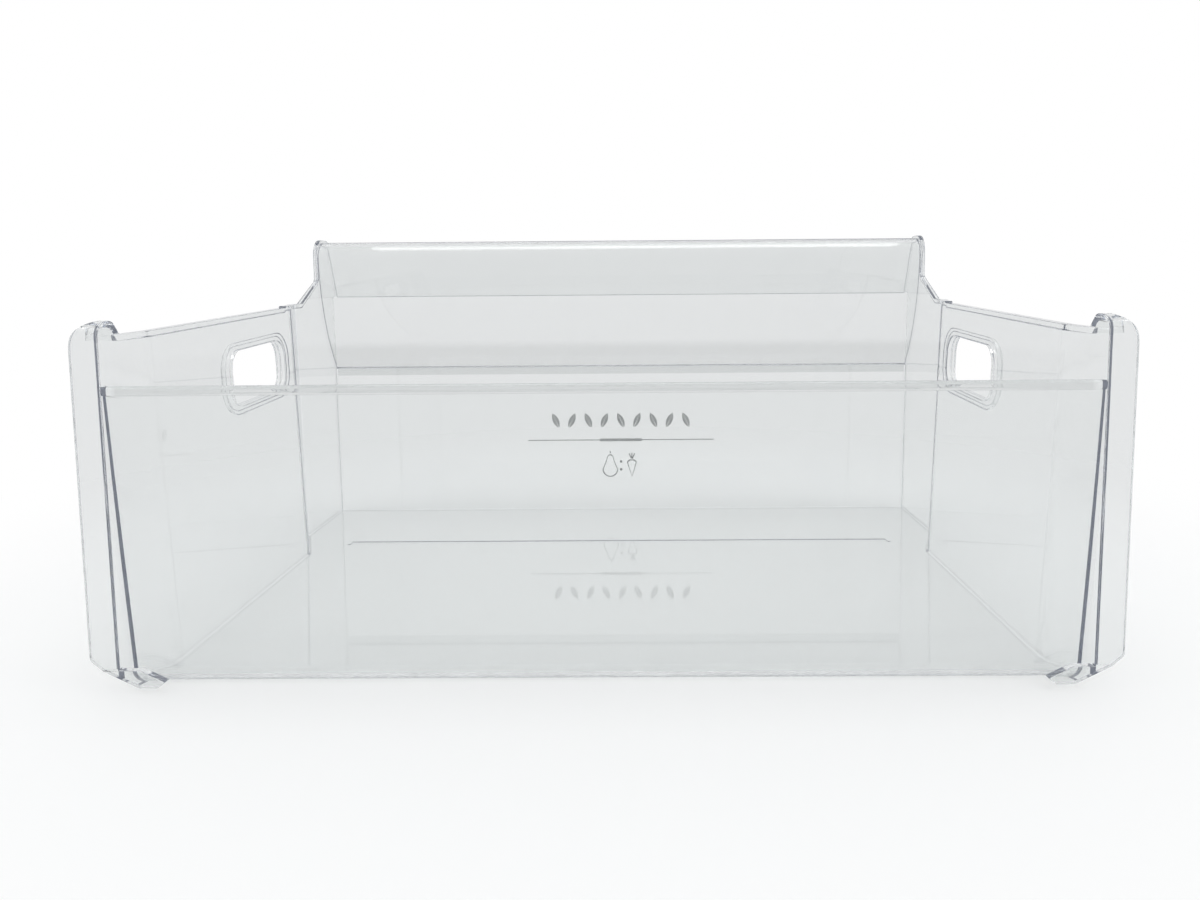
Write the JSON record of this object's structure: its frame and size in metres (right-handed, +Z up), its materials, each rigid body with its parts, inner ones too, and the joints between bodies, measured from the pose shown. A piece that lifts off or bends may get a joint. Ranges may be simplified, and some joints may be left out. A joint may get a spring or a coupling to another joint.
{
  "type": "crisper drawer",
  "caption": "Clear refrigerator crisper drawer: open moulded tub with stepped side walls, hand holes, rear flanges and a hooded finger grip closing the top of its front wall.",
  "frame": {"origin": "middle of the drawer's bounding box in plan, on the surface that it stands on", "axes": "+Z up, the drawer's front with its grip faces -Y, its rear wall and rear flanges are at +Y, width along X"},
  "size_m": [0.48, 0.3526, 0.225],
  "materials": {
    "clear_plastic": "clear, moulded, polished",
    "ink": "printed grey ink"
  },
  "bodies": {
    "root": {"tub": "clear_plastic", "grip": "clear_plastic", "print_rule": "ink", "print_leaves": "ink", "print_emblem": "ink"}
  },
  "joints": []
}
